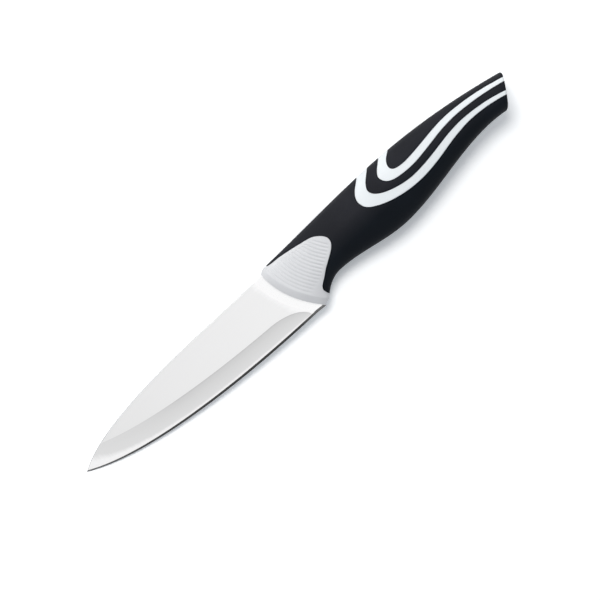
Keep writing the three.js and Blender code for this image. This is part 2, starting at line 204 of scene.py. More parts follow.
handleShape = {
    "length": 108.8, "guardSweep": 10.1, "buttSlant": 7.3,
    "frontLead": 0.36, "frontBulge": 3.1, "bulgeReach": 33,
    "collarRise": 1.5, "humpRise": 2.5, "humpAt": 48, "buttFall": 4.9,
    "guardDepth": 23.5, "neckDepth": 17.1, "neckAt": 11, "bellyDepth": 20.8, "bellyAt": 39,
    "waistDepth": 15.5, "waistBefore": 8.3, "buttDepth": 16.2,
    "collarThickness": 11.8, "bellyThickness": 16.8, "thickestAt": 47,
    "waistThickness": 13, "thinnestBefore": 15, "buttThickness": 14.2,
    "nose": (1.9, 1.6, 1.0), "buttRound": 1, "ovalFullness": 2.4, "bevelFullness": 1.12,
    "skin": 1.8, "gap": 0.1, "coreStart": 5,
    "skinGrid": (170, 61), "coreGrid": (60, 31), "faceSteps": 5, "roundSteps": 8,
}  # the nose is a bevel's length, its depth over the thickness and its depth at spine and foot
handleLength = handleShape["length"]
lowLength = handleLength - handleShape["guardSweep"] - handleShape["buttSlant"]
topLine = [
    (0, handleShape["collarRise"]),
    (handleShape["humpAt"] / handleLength, handleShape["humpRise"], easeBoth),
    (1, -handleShape["buttFall"], easeIn),
]
lowLine = [
    (0, -handleShape["guardDepth"]),
    (handleShape["neckAt"] / lowLength, -handleShape["neckDepth"], easeOut),
    (handleShape["bellyAt"] / lowLength, -handleShape["bellyDepth"], easeBoth),
    (1 - handleShape["waistBefore"] / lowLength, -handleShape["waistDepth"], easeBoth),
    (1, -handleShape["buttDepth"], easeIn),
]
thicknessLine = [
    (0, handleShape["collarThickness"]),
    (handleShape["thickestAt"] / handleLength, handleShape["bellyThickness"], easeBoth),
    (1 - handleShape["thinnestBefore"] / handleLength, handleShape["waistThickness"], easeBoth),
    (1, handleShape["buttThickness"], easeIn),
]


def onHandle(share, up):  # share runs from the front to the butt, up from -1 at the foot to 1 at the spine
    rise = (up + 1) / 2
    fade = max(0, 1 - share * handleLength / handleShape["bulgeReach"])
    bow = (handleShape["frontLead"] + handleShape["frontBulge"] * (1 - up * up)) * fade * fade
    x = mix(handleShape["guardSweep"] + lowLength * share, handleLength * share, rise) - bow
    y = mix(along(lowLine, share), along(topLine, share), rise)
    return x, y


def frontAt(height, back=0):  # the collar's bowed front
    span = handleShape["collarRise"] + handleShape["guardDepth"]
    up = 2 * (height + handleShape["guardDepth"]) / span - 1
    return onHandle(0, up)[0] + back, height


def frontLine(fromHeight, toHeight, back, steps):
    return [frontAt(mix(fromHeight, toHeight, i / steps), back) for i in range(steps + 1)]


def handleStations(start, end, inset, nose, steps):  # place, inset of side, inset of spine and foot, spread
    endRound = handleShape["buttRound"]
    faceSteps, roundSteps = handleShape["faceSteps"], handleShape["roundSteps"]
    length, depth, corner = nose
    power = 2 / handleShape["bevelFullness"]
    stations = [(start, inset + depth, inset + corner, i / faceSteps) for i in range(faceSteps)]
    for i in range(roundSteps):
        angle = pi / 2 * i / roundSteps
        place = start + length * (1 - cos(angle) ** power)
        drawn = 1 - sin(angle) ** power
        stations.append((place, inset + depth * drawn, inset + corner * drawn, 1))
    for i in range(steps + 1):
        stations.append((mix(start + length, end - endRound, i / steps), inset, inset, 1))
    for i in range(1, roundSteps + 1):
        angle = pi / 2 * i / roundSteps
        drawn = inset + endRound * (1 - cos(angle))
        stations.append((end - endRound * (1 - sin(angle)), drawn, drawn, 1))
    for i in range(1, faceSteps + 1):
        stations.append((end, inset + endRound, inset + endRound, 1 - i / faceSteps))
    return stations


def handleSpots(start, end, inset, nose, steps, rows):
    stations = handleStations(start, end, inset, nose, steps)
    spots = np.zeros((len(stations), rows, 3))
    power = 2 / handleShape["ovalFullness"]
    for i, (place, sideInset, endInset, spread) in enumerate(stations):
        share = place / handleLength
        halfHeight = (along(topLine, share) - along(lowLine, share)) / 2
        halfThickness = (along(thicknessLine, share) / 2 - sideInset) * spread
        for j in range(rows):
            angle = pi * j / (rows - 1)
            up = copysign(abs(cos(angle)) ** power, cos(angle)) * (1 - endInset / halfHeight)
            out = abs(sin(angle)) ** power if 0 < j < rows - 1 else 0
            spots[i, j] = (*onHandle(share, up), out * halfThickness)
    return spots


def handleForm(name, *settings):
    spots = handleSpots(*settings)
    return mirrored(halfForm(name, *spots.shape[:2], spots))


# paths on the side of the handle, as (share, up)

tonguePath = [(0.028, 1.3), (0.029, 1.03), (0.036, 0.94), (0.083, 0.867), (0.143, 0.708), (0.19, 0.539),
              (0.209, 0.182), (0.181, -0.196), (0.094, -0.67), (0.046, -0.791), (0.034, -0.9),
              (0.03, -1.04), (0.03, -1.3)]
outerFront = [(0.476, 1.3), (0.427, 0.963), (0.384, 0.665), (0.367, 0.359), (0.382, 0.059), (0.452, -0.219),
              (0.558, -0.403), (0.665, -0.405), (0.77, -0.256), (0.85, -0.17), (0.945, -0.199), (1.07, -0.34)]
outerBack = [(0.514, 1.3), (0.471, 0.965), (0.431, 0.664), (0.417, 0.415), (0.438, 0.164), (0.495, -0.046),
             (0.569, -0.16), (0.663, -0.123), (0.765, 0.027), (0.833, 0.082), (0.937, 0.034), (1.07, -0.16)]
innerFront = [(0.564, 1.3), (0.522, 0.976), (0.483, 0.664), (0.475, 0.462), (0.49, 0.259), (0.528, 0.15),
              (0.592, 0.109), (0.66, 0.177), (0.76, 0.363), (0.825, 0.433), (0.924, 0.463), (1.07, 0.43)]
innerBack = [(0.605, 1.3), (0.562, 0.992), (0.533, 0.772), (0.522, 0.564), (0.53, 0.42), (0.555, 0.356),
             (0.592, 0.354), (0.658, 0.435), (0.756, 0.62), (0.82, 0.684), (0.917, 0.71), (1.07, 0.61)]
pathSteps = 132


def smoothPath(path, shift=0):  # a spline through the path, moved to its left
    points = [Vector(p) for p in path]
    last = len(points) - 1
    line = []
    for step in range(pathSteps + 1):
        place = last * step / pathSteps
        n = min(int(place), last - 1)
        t = place - n
        a, b, c, d = points[max(n - 1, 0)], points[n], points[n + 1], points[min(n + 2, last)]
        leave, arrive = (c - a) / 2, (d - b) / 2
        cubic = b * 2 - c * 2 + leave + arrive
        square = c * 3 - b * 3 - leave * 2 - arrive
        spot = cubic * t ** 3 + square * t * t + leave * t + b
        line.append(Vector(onHandle(*spot)))
    moved = []
    for i, spot in enumerate(line):
        side = (line[min(i + 1, pathSteps)] - line[max(i - 1, 0)]).normalized()
        moved.append((spot.x - side.y * shift, spot.y + side.x * shift))
    return moved


def areaBehind(path, shift):
    line = smoothPath(path, shift)
    far = handleLength + farOut
    return slab("areaBehind", line + [(far, line[-1][1]), (far, farOut), (line[0][0], farOut)], farOut)


def collarArea(grow):
    line = smoothPath(tonguePath, grow)
    return slab("collarArea", line + [(-farOut, line[-1][1]), (-farOut, line[0][1])], farOut)


def stripeArea(front, back):
    return slab("stripeArea", smoothPath(front) + smoothPath(back)[::-1], farOut)


# blade

bladeShape = {
    "length": 91.2, "height": 22.6, "thickness": 1.5, "tipDrop": 8.5, "spineCurve": 58,
    "edgeTipPull": (0.203, 0.76), "edgeHeelPull": 0.63, "spineTipPull": (0.12, 0.46), "spineEndPull": 0.42,
    "bevelWidth": 7.2, "bevelTipWidth": 7.9, "hollow": 0.07,
    "honedWidth": 0.88, "honedTipWidth": 0.48, "honedShoulder": 0.36, "edgeThickness": 0.06,
    "plungeLength": 14.7, "plungeGap": 1.7, "spineBreak": 0.35,
    "stock": 1.6, "ricassoWidth": 3.8, "seatDrop": 0.6, "seatHeight": 18, "heelDrop": 0.3,
    "tangRoot": 10, "tangLength": 62, "tangDrop": 4.6, "tangHeight": 8, "tangEndSteps": 24,
    "holeDiameter": 4, "holeFirst": 24, "holePitch": 22, "holeCount": 2, "holeSides": 48,
    "columns": 130, "tipCrowding": 1.25, "plungeColumns": 40, "bevelRows": 10, "cheekRows": 4,
    "spineSteps": 300, "frontSteps": 30, "heelSteps": 12, "spare": 2, "widestReach": 40, "stoneSize": 10,
}  # the pulls are shares of each curve's run, and of its drop where there are two
satinFace, groundFace, honedFace, ricassoFace, spineFace = range(5)
tip = Vector((-bladeShape["length"], -bladeShape["tipDrop"]))
edgeEnd = Vector(frontAt(-bladeShape["height"], -bladeShape["ricassoWidth"]))
heel = Vector(frontAt(-bladeShape["height"] - bladeShape["heelDrop"], -handleShape["gap"]))


def makeEdgeCurve():
    run, drop = edgeEnd.x - tip.x, edgeEnd.y - tip.y
    pullX, pullY = bladeShape["edgeTipPull"]
    atTip = tip + Vector((run * pullX, drop * pullY))
    atHeel = Vector((tip.x + run * bladeShape["edgeHeelPull"], edgeEnd.y))
    return [tip, atTip, atHeel, edgeEnd]


def makeSpineLine():  # as a row of X and a row of heights
    run = bladeShape["spineCurve"]
    pullX, pullY = bladeShape["spineTipPull"]
    atTip = Vector((tip.x + run * pullX, tip.y * pullY))
    atEnd = Vector((tip.x + run * bladeShape["spineEndPull"], 0))
    curve = [tip, atTip, atEnd, Vector((tip.x + run, 0))]
    steps = bladeShape["spineSteps"]
    line = [bezier(curve, i / steps) for i in range(steps + 1)]
    return [p.x for p in line] + [farOut], [p.y for p in line] + [0]


edgeCurve = makeEdgeCurve()
spineLine = makeSpineLine()


def groundHeight(inward, width, honed):  # half the blade's thickness at a distance from the edge
    half, shoulder = bladeShape["thickness"] / 2, bladeShape["honedShoulder"] / 2
    if inward < honed:
        return mix(bladeShape["edgeThickness"] / 2, shoulder, inward / honed)
    if inward < width:
        t = (inward - honed) / (width - honed)
        return mix(shoulder, half, t) - 4 * bladeShape["hollow"] * t * (1 - t)
    return half


def edgeShare(x):  # where on the edge curve a place along X lies
    return halved(0, 1, lambda share: bezier(edgeCurve, share).x < x)


def edgeStations():  # share of the edge curve, width of the ground face, how far it has slid off, honed width
    plungeEnd = edgeEnd.x - bladeShape["plungeGap"]
    plungeStart = plungeEnd - bladeShape["plungeLength"]
    width, honed, count = bladeShape["bevelWidth"], bladeShape["honedWidth"], bladeShape["columns"]
    stations = []
    for i in range(count):
        t = (i / count) ** bladeShape["tipCrowding"]
        ground = mix(bladeShape["bevelTipWidth"], width, easeIn(t))
        strip = mix(bladeShape["honedTipWidth"], honed, easeOut(t))
        stations.append((edgeShare(mix(tip.x, plungeStart, t)), ground, 0, strip))
    for i in range(bladeShape["plungeColumns"] + 1):  # the wheel leaves the edge in an arc
        angle = pi / 2 * i / bladeShape["plungeColumns"]
        share = edgeShare(mix(plungeStart, plungeEnd, sin(angle)))
        stations.append((share, width, width * (1 - cos(angle)), honed))
    for t in (0.5, 1):
        stations.append((edgeShare(mix(plungeEnd, edgeEnd.x, t)), width, width, honed))
    return stations


def reachToSpine(point, inwards):
    def isUnder(reach):
        spot = point + inwards * reach
        return spot.y < np.interp(spot.x, *spineLine)
    return halved(0, bladeShape["widestReach"], isUnder)


def bladeColumn(share, width, slide, honed):  # from the edge to the spine, on one side
    point, side = bezier(edgeCurve, share), bezierSlope(edgeCurve, share)
    inwards = Vector((-side.y, side.x))
    reach = reachToSpine(point, inwards) if share > 0 else 0
    softened = min(bladeShape["spineBreak"], reach / 4)
    top = reach - softened
    grindLine = max(honed, width - slide)
    bevelRows, cheekRows = bladeShape["bevelRows"], bladeShape["cheekRows"]
    targets = [0, honed] + [mix(honed, grindLine, (n + 1) / bevelRows) for n in range(bevelRows)]
    targets = [min(target, top) for target in targets]
    targets += [mix(targets[-1], top, (n + 1) / cheekRows) for n in range(cheekRows)]
    column = [(point.x, point.y, 0)]
    for n, inward in enumerate(targets):
        z = groundHeight(inward + slide, width, honed) if n else bladeShape["edgeThickness"] / 2
        column.append((*(point + inwards * inward), z))
    crown = max(0, column[-1][2] - softened)
    return column + [(*(point + inwards * reach), crown), (*(point + inwards * reach), 0)]


def finishOfRow(row, rows):  # rows of the grid choose the finish
    if row < 2:
        return honedFace
    if row < 2 + bladeShape["bevelRows"]:
        return groundFace
    return spineFace if row >= rows - 2 else satinFace


def groundBlade():
    spots = [bladeColumn(*station) for station in edgeStations()]
    spots.append([(x, y, 0) for x, y, z in spots[-1]])  # closes the back
    spots = np.array(spots)
    piece = halfForm("knifeBlade", *spots.shape[:2], spots)
    rows = spots.shape[1] - 1
    grid = piece.data.uv_layers[0].data
    for face in piece.data.polygons:
        row = min(round(grid[loop].uv[1] * rows) for loop in face.loop_indices)
        face.material_index = finishOfRow(row, rows)
    return mirrored(piece)


def tangLine(grow):
    seatTop = -bladeShape["seatDrop"] + grow
    seatFoot = -bladeShape["seatDrop"] - bladeShape["seatHeight"] - grow
    tangTop = -bladeShape["tangDrop"] + grow
    tangFoot = -bladeShape["tangDrop"] - bladeShape["tangHeight"] - grow
    root, steps = bladeShape["tangRoot"], bladeShape["tangEndSteps"]
    radius = (tangTop - tangFoot) / 2
    centre = (bladeShape["tangLength"] + grow - radius, (tangTop + tangFoot) / 2)
    turn = [pi / 2 - pi * i / steps for i in range(steps + 1)]
    end = [(centre[0] + radius * cos(a), centre[1] + radius * sin(a)) for a in turn]
    return [frontAt(seatTop), (root, tangTop), *end, (root, tangFoot), frontAt(seatFoot)]


def cutTangHoles(piece, radius):
    y = -bladeShape["tangDrop"] - bladeShape["tangHeight"] / 2
    for i in range(bladeShape["holeCount"]):
        x = bladeShape["holeFirst"] + i * bladeShape["holePitch"]
        deselectAll()
        bpy.ops.mesh.primitive_cylinder_add(
            vertices=bladeShape["holeSides"], radius=radius, depth=through, location=(x, y, 0))
        carve(piece, bpy.context.object, "DIFFERENCE")


def honeHeel(stock):  # the honed strip goes on over the foot of the ricasso
    run = (heel - edgeEnd).to_3d().normalized()
    foot = bladeShape["edgeThickness"] / 2
    slope = (bladeShape["thickness"] / 2 - foot) / bladeShape["honedWidth"]
    size = bladeShape["stoneSize"]
    for side in (1, -1):
        out = Vector((run.y * slope, -run.x * slope, side)).normalized()
        middle = ((edgeEnd + heel) / 2).to_3d() + Vector((0, 0, side * foot)) + out * (size / 2)
        deselectAll()
        bpy.ops.mesh.primitive_cube_add(size=size)
        stone = bpy.context.object
        stone.data.polygons.foreach_set("material_index", [honedFace] * len(stone.data.polygons))
        turned = Matrix((run, out.cross(run), out)).transposed().to_4x4()
        stone.matrix_world = Matrix.Translation(middle) @ turned
        carve(stock, stone, "DIFFERENCE")


def makeBlade():
    height, gap, ricasso = bladeShape["height"], handleShape["gap"], bladeShape["ricassoWidth"]
    above, below, steps = bladeShape["spare"], -height - bladeShape["spare"], bladeShape["frontSteps"]
    blade = groundBlade()
    behind = frontLine(above, below, -ricasso / 2, steps) + [(farOut, below), (farOut, above)]
    carve(blade, slab("behind", behind, through), "DIFFERENCE")
    seatFoot = -bladeShape["seatDrop"] - bladeShape["seatHeight"]
    outline = frontLine(-height, 0, -ricasso, steps)
    outline += frontLine(0, -bladeShape["seatDrop"], -gap, 1) + tangLine(0)
    outline += frontLine(seatFoot, heel.y, -gap, bladeShape["heelSteps"])
    stock = slab("stock", outline, bladeShape["stock"])
    cutTangHoles(stock, bladeShape["holeDiameter"] / 2)
    for face in stock.data.polygons:  # polished cheeks; the edges are painted darker, a painted shade that damps their glint
        face.material_index = ricassoFace if abs(face.normal.z) > 0.5 else spineFace
    honeHeel(stock)
    carve(blade, stock, "UNION")
    return blade


# collar ribs

ribs = {
    "pitch": 1.25, "start": 3.2, "count": 15, "sharpness": 1.3,
    "frontDepth": 0.16, "depth": 0.24, "spineGain": 1.5, "spineGainOver": (-0.1, 0.7),
    "rim": 0.9, "rimFade": (-0.1, 0.5), "footReach": 0.8, "spineReach": 0.95, "reachFade": (0.05, -0.1),
    "firstFade": (-0.5, -0.45), "lastFade": (-0.4, -0.5),
    "columns": 210, "rows": 131, "length": 27, "frontSteps": 80,
}


def faded(value, edge, margins):  # from 0 at the first margin beyond the edge to 1 at the second
    start, end = edge + margins[0], edge + margins[1]
    return easeBoth(np.clip((value - start) / (end - start), 0, 1))


def awayFrom(line, x, y):  # distance from a line of points
    line = np.array(line)
    away = np.full(x.shape, np.inf)
    for a, b in zip(line[:-1], line[1:]):
        run = b - a
        t = np.clip(((x - a[0]) * run[0] + (y - a[1]) * run[1]) / (run @ run), 0, 1)
        away = np.minimum(away, np.hypot(x - a[0] - t * run[0], y - a[1] - t * run[1]))
    return away


def ribbedCollar():  # the ribs run parallel to the collar's front
    spots = handleSpots(0, ribs["length"], 0, handleShape["nose"], ribs["columns"], ribs["rows"])
    x, y, z = spots[..., 0], spots[..., 1], spots[..., 2]
    front = frontLine(-handleShape["guardDepth"], handleShape["collarRise"], 0, ribs["frontSteps"])
    turns = (awayFrom(front, x, y) - ribs["start"]) / ribs["pitch"]
    share = np.clip(x / handleLength, 0, 1)
    low = np.vectorize(lambda s: along(lowLine, s))(share)
    top = np.vectorize(lambda s: along(topLine, s))(share)
    up = 2 * (y - low) / (top - low) - 1
    field = faded(awayFrom(smoothPath(tonguePath), x, y), ribs["rim"], ribs["rimFade"])
    field = field * faded(-up, ribs["footReach"], ribs["reachFade"])
    field = field * faded(up, ribs["spineReach"], ribs["reachFade"])
    field = field * faded(turns, 0, ribs["firstFade"]) * faded(turns, ribs["count"], ribs["lastFade"])
    groove = (0.5 + 0.5 * np.cos(2 * pi * turns)) ** ribs["sharpness"]
    depth = mix(ribs["frontDepth"], ribs["depth"], np.clip(turns / ribs["count"], 0, 1))
    depth = depth * mix(1, ribs["spineGain"], faded(up, 0, ribs["spineGainOver"]))
    spots[..., 2] = np.maximum(0, z - depth * groove * field)
    return mirrored(halfForm("collar", *spots.shape[:2], spots))


def makeHandle():
    gap, skin, nose = handleShape["gap"], handleShape["skin"], handleShape["nose"]
    coreStart, coreEnd = handleShape["coreStart"], handleLength - skin
    coreNose = [handleShape["buttRound"]] * 3
    whole = handleForm("whole", 0, handleLength, 0, nose, *handleShape["skinGrid"])

    core = handleForm("handleCore", coreStart, coreEnd, skin, coreNose, *handleShape["coreGrid"])
    carve(core, carve(ribbedCollar(), collarArea(0), "INTERSECT"), "UNION")
    for front, back in ((outerFront, outerBack), (innerFront, innerBack)):
        carve(core, carve(copyOf(whole, "stripe"), stripeArea(front, back), "INTERSECT"), "UNION")
    line = tangLine(gap)
    mouth = [(-farOut, line[0][1]), *line, (-farOut, line[-1][1])]
    pocket = slab("pocket", mouth, bladeShape["stock"] + 2 * gap)
    cutTangHoles(pocket, bladeShape["holeDiameter"] / 2 - gap)  # leaves the core's pegs
    carve(core, pocket, "DIFFERENCE")
    print("core done", len(core.data.polygons))

    hollow = handleForm("hollow", coreStart, coreEnd + gap, skin - gap, coreNose, *handleShape["coreGrid"])
    carve(whole, hollow, "DIFFERENCE")
    carve(whole, collarArea(gap), "DIFFERENCE")
    sleeve = carve(copyOf(whole, "gripSleeve"), areaBehind(outerFront, -gap), "DIFFERENCE")
    band = carve(copyOf(whole, "gripBand"), areaBehind(outerBack, gap), "INTERSECT")
    carve(band, areaBehind(innerFront, -gap), "DIFFERENCE")
    island = carve(copyOf(whole, "gripIsland"), areaBehind(innerBack, gap), "INTERSECT")
    throwAway(whole)
    print("grip done", len(sleeve.data.polygons), len(band.data.polygons), len(island.data.polygons))
    return core, sleeve, band, island


# shared effects

grain = {"fineShare": 0.65, "broadShare": 0.35, "broadScale": 0.22,
         "cellShare": 0.6, "speckShare": 0.4, "speckScale": 0.6}
patches = {"From Min": 0.35, "From Max": 0.7}


def effect(name, inputs, outputs):
    group = bpy.data.node_groups.new(name, "ShaderNodeTree")
    for socket, value in inputs.items():
        kind = "NodeSocketVector" if isinstance(value, tuple) else "NodeSocketFloat"
        group.interface.new_socket(name=socket, in_out="INPUT", socket_type=kind).default_value = value
    for socket in outputs:
        group.interface.new_socket(name=socket, in_out="OUTPUT", socket_type="NodeSocketFloat")
    return group, group.nodes.new("NodeGroupInput"), group.nodes.new("NodeGroupOutput")


def addNode(tree, kind, **settings):
    made = tree.nodes.new(kind)
    for name, value in settings.items():
        setattr(made, name, value)
    return made


def setSockets(made, values):
    for name, value in values.items():
        made.inputs[name].default_value = value


def calc(tree, operation, a, b):
    made = addNode(tree, "ShaderNodeMath", operation=operation)
    for socket, value in zip(made.inputs, (a, b)):
        if isinstance(value, (int, float)):
            socket.default_value = value
        else:
            tree.links.new(value, socket)
    return made.outputs[0]


def summed(tree, a, aShare, b, bShare):
    return calc(tree, "ADD", calc(tree, "MULTIPLY", a, aShare), calc(tree, "MULTIPLY", b, bShare))


def noise(tree, vector, scale, detail, roughness=0.5):
    made = addNode(tree, "ShaderNodeTexNoise")
    setSockets(made, {"Detail": detail, "Roughness": roughness})
    tree.links.new(vector, made.inputs["Vector"])
    tree.links.new(scale, made.inputs["Scale"])
    return made.outputs["Fac"]


def objectPlace(tree):
    return addNode(tree, "ShaderNodeTexCoord").outputs["Object"]


def makeLineGrain():  # fine parallel scratches, drawn out where the stretch is small
    group, start, end = effect("lineGrain", {"Stretch": (1.0, 1.0, 1.0), "Scale": 1000.0}, ["Mask"])
    stretched = addNode(group, "ShaderNodeVectorMath", operation="MULTIPLY")
    group.links.new(objectPlace(group), stretched.inputs[0])
    group.links.new(start.outputs["Stretch"], stretched.inputs[1])
    broadScale = calc(group, "MULTIPLY", start.outputs["Scale"], grain["broadScale"])
    fine = noise(group, stretched.outputs[0], start.outputs["Scale"], 3, 0.6)
    broad = noise(group, stretched.outputs[0], broadScale, 2)
    mask = summed(group, fine, grain["fineShare"], broad, grain["broadShare"])
    group.links.new(mask, end.inputs["Mask"])
    return group


def makeMouldGrain():  # the even fine grain of a moulded surface
    group, start, end = effect("mouldGrain", {"Scale": 3000.0}, ["Mask", "Height"])
    place = objectPlace(group)
    cells = addNode(group, "ShaderNodeTexVoronoi", feature="SMOOTH_F1")
    group.links.new(place, cells.inputs["Vector"])
    group.links.new(start.outputs["Scale"], cells.inputs["Scale"])
    speckScale = calc(group, "MULTIPLY", start.outputs["Scale"], grain["speckScale"])
    speck = noise(group, place, speckScale, 3)
    height = summed(group, cells.outputs["Distance"], grain["cellShare"], speck, grain["speckShare"])
    group.links.new(speck, end.inputs["Mask"])
    group.links.new(height, end.inputs["Height"])
    return group


def makeHandling():  # broad dull patches where hands have been
    group, start, end = effect("handling", {"Scale": 60.0}, ["Mask"])
    spread = addNode(group, "ShaderNodeMapRange", interpolation_type="SMOOTHSTEP")
    setSockets(spread, patches)
    group.links.new(noise(group, objectPlace(group), start.outputs["Scale"], 4, 0.55), spread.inputs["Value"])
    group.links.new(spread.outputs["Result"], end.inputs["Mask"])
    return group


lineGrain, mouldGrain, handling = makeLineGrain(), makeMouldGrain(), makeHandling()


# finishes

wear = {"steelPatches": 45, "mouldedPatches": 70, "dulling": 0.04,
        "scratchDepth": 0.00002, "grainDepth": 0.00005}
coolness = 1.004  # of the steel's blue over its red and green


def newFinish(name):
    material = bpy.data.materials.new(name)
    material.use_nodes = True
    return material, material.node_tree, material.node_tree.nodes["Principled BSDF"]


def placed(tree, group, **values):
    made = addNode(tree, "ShaderNodeGroup", node_tree=group)
    setSockets(made, values)
    return made


def ranged(tree, value, low, high):
    made = addNode(tree, "ShaderNodeMapRange")
    setSockets(made, {"To Min": low, "To Max": high})
    tree.links.new(value, made.inputs["Value"])
    return made.outputs["Result"]


def blended(tree, factor, first, second):  # each end is a colour or another node's output
    made = addNode(tree, "ShaderNodeMix", data_type="RGBA")
    tree.links.new(factor, made.inputs[0])
    for socket, colour in ((made.inputs[6], first), (made.inputs[7], second)):
        if isinstance(colour, tuple):
            socket.default_value = (*colour, 1)
        else:
            tree.links.new(colour, socket)
    return made.outputs[2]


def bumped(tree, shader, height, strength, distance):
    bump = addNode(tree, "ShaderNodeBump")
    setSockets(bump, {"Strength": strength, "Distance": distance})
    tree.links.new(height, bump.inputs["Height"])
    tree.links.new(bump.outputs["Normal"], shader.inputs["Normal"])


def rampOf(tree, coordinate, direction, start, end, most=1):  # from 0 at the start to the most at the end
    measured = addNode(tree, "ShaderNodeVectorMath", operation="DOT_PRODUCT")
    tree.links.new(addNode(tree, "ShaderNodeTexCoord").outputs[coordinate], measured.inputs[0])
    measured.inputs[1].default_value = direction
    made = addNode(tree, "ShaderNodeMapRange")
    setSockets(made, {"From Min": start, "From Max": end, "To Max": most})
    tree.links.new(measured.outputs["Value"], made.inputs["Value"])
    return made.outputs["Result"]


def greyed(tree, factor, greys):  # greys are (place, level)
    made = addNode(tree, "ShaderNodeValToRGB")
    stops = made.color_ramp.elements
    while len(stops) < len(greys):
        stops.new(0.5)
    for stop, (place, level) in zip(stops, greys):
        stop.position = place
        stop.color = (level, level, level * coolness, 1)
    tree.links.new(factor, made.inputs["Fac"])
    return made.outputs["Color"]


def steelFinish(look):
    material, tree, shader = newFinish(look["name"])
    shader.inputs["Metallic"].default_value = 1
    lines = placed(tree, lineGrain, Stretch=look["stretch"], Scale=look["scale"]).outputs["Mask"]
    marks = placed(tree, handling, Scale=wear["steelPatches"]).outputs["Mask"]
    shade = rampOf(tree, *look["ramp"])
    if "lift" in look:  # raises the dark end of the ramp and leaves its light end
        rest = calc(tree, "SUBTRACT", 1, shade)
        shade = calc(tree, "ADD", shade, calc(tree, "MULTIPLY", rest, rampOf(tree, *look["lift"])))
    shade = calc(tree, "ADD", shade, ranged(tree, lines, -look["contrast"], look["contrast"]))
    tree.links.new(greyed(tree, shade, look["greys"]), shader.inputs["Base Color"])
    dulled = ranged(tree, marks, 0, wear["dulling"])
    level = calc(tree, "ADD", ranged(tree, lines, *look["roughness"]), dulled)
    tree.links.new(level, shader.inputs["Roughness"])
    bumped(tree, shader, lines, look["bump"], wear["scratchDepth"])
    return material


def mouldedFinish(look):  # a dark and a light shade for each end of the ramp
    material, tree, shader = newFinish(look["name"])
    shader.inputs["Specular IOR Level"].default_value = look["specular"]
    surface = placed(tree, mouldGrain, Scale=look["grain"])
    speck = surface.outputs["Mask"]
    marks = placed(tree, handling, Scale=wear["mouldedPatches"]).outputs["Mask"]
    tint = calc(tree, "MULTIPLY", calc(tree, "ADD", speck, marks), 0.5)
    ends = [blended(tree, tint, *look[end]) for end in ("from", "to")]
    tree.links.new(blended(tree, rampOf(tree, *look["ramp"]), *ends), shader.inputs["Base Color"])
    dulled = ranged(tree, marks, -wear["dulling"], wear["dulling"])
    level = calc(tree, "ADD", ranged(tree, speck, *look["roughness"]), dulled)
    tree.links.new(level, shader.inputs["Roughness"])
    bumped(tree, shader, surface.outputs["Height"], look["bump"], wear["grainDepth"])
    return material


# ramps are coordinate, direction, start and end along it, and the value at the end where that isn't 1
bladeRows = bladeShape["bevelRows"] + bladeShape["cheekRows"] + 4  # rows of the blade's grid
alongBlade = ("Object", (1, 0, 0), -0.1, -0.0132)
paintedLightAlongCheek = (*alongBlade, 0.9)
byCollar = ("Object", (1, 0.29, 0), -0.0127, -0.0102)
alongEdge = ("Object", (1, 0, 0), -0.1, 0.0005)
nearTip = ("Object", (1, 0, 0), -0.06, -0.0998, 0.9)
acrossBevel = ("UV", (0, 1, 0), (bladeShape["bevelRows"] + 2) / bladeRows, 2 / bladeRows)
lengthwise = (0.04, 1, 1)  # stretches of the scratches
crosswise = (1, 0.04, 1)

# painted light: the flat is painted lighter from the tip towards the collar; a band by the collar's front is
# lighter still
satinSteelPaintedLight = steelFinish({
    "name": "satinSteelPaintedLight", "ramp": paintedLightAlongCheek, "lift": byCollar,
    "greys": [(0, 0.76), (0.45, 0.815), (0.9, 0.86), (1, 0.945)], "contrast": 0.08,
    "roughness": (0.26, 0.38), "stretch": lengthwise, "scale": 2600, "bump": 0.15,
})
# painted shade and light: the bevel is painted darker than the flat and darkest at the grind line, with a
# painted highlight line by the honed edge, and painted lighter towards the tip
groundSteelPaintedShading = steelFinish({
    "name": "groundSteelPaintedShading", "ramp": acrossBevel, "lift": nearTip,
    "greys": [(0, 0.545), (0.08, 0.62), (0.35, 0.67), (0.86, 0.72), (0.94, 0.89)], "contrast": 0.06,
    "roughness": (0.24, 0.36), "stretch": crosswise, "scale": 2200, "bump": 0.2,
})
# painted shade: the honed strip is painted near black along the edge, lighter at the tip and at the heel
honedSteelPaintedShade = steelFinish({
    "name": "honedSteelPaintedShade", "ramp": alongEdge,
    "greys": [(0, 0.15), (0.2, 0.06), (0.88, 0.05), (0.99, 0.16)], "contrast": 0.02,
    "roughness": (0.2, 0.3), "stretch": (1, 0.05, 1), "scale": 3000, "bump": 0.1,
})
ricassoSteel = steelFinish({
    "name": "ricassoSteel", "ramp": alongBlade,
    "greys": [(0, 0.925), (1, 0.96)], "contrast": 0.3,
    "roughness": (0.18, 0.28), "stretch": lengthwise, "scale": 2600, "bump": 0.1,
})
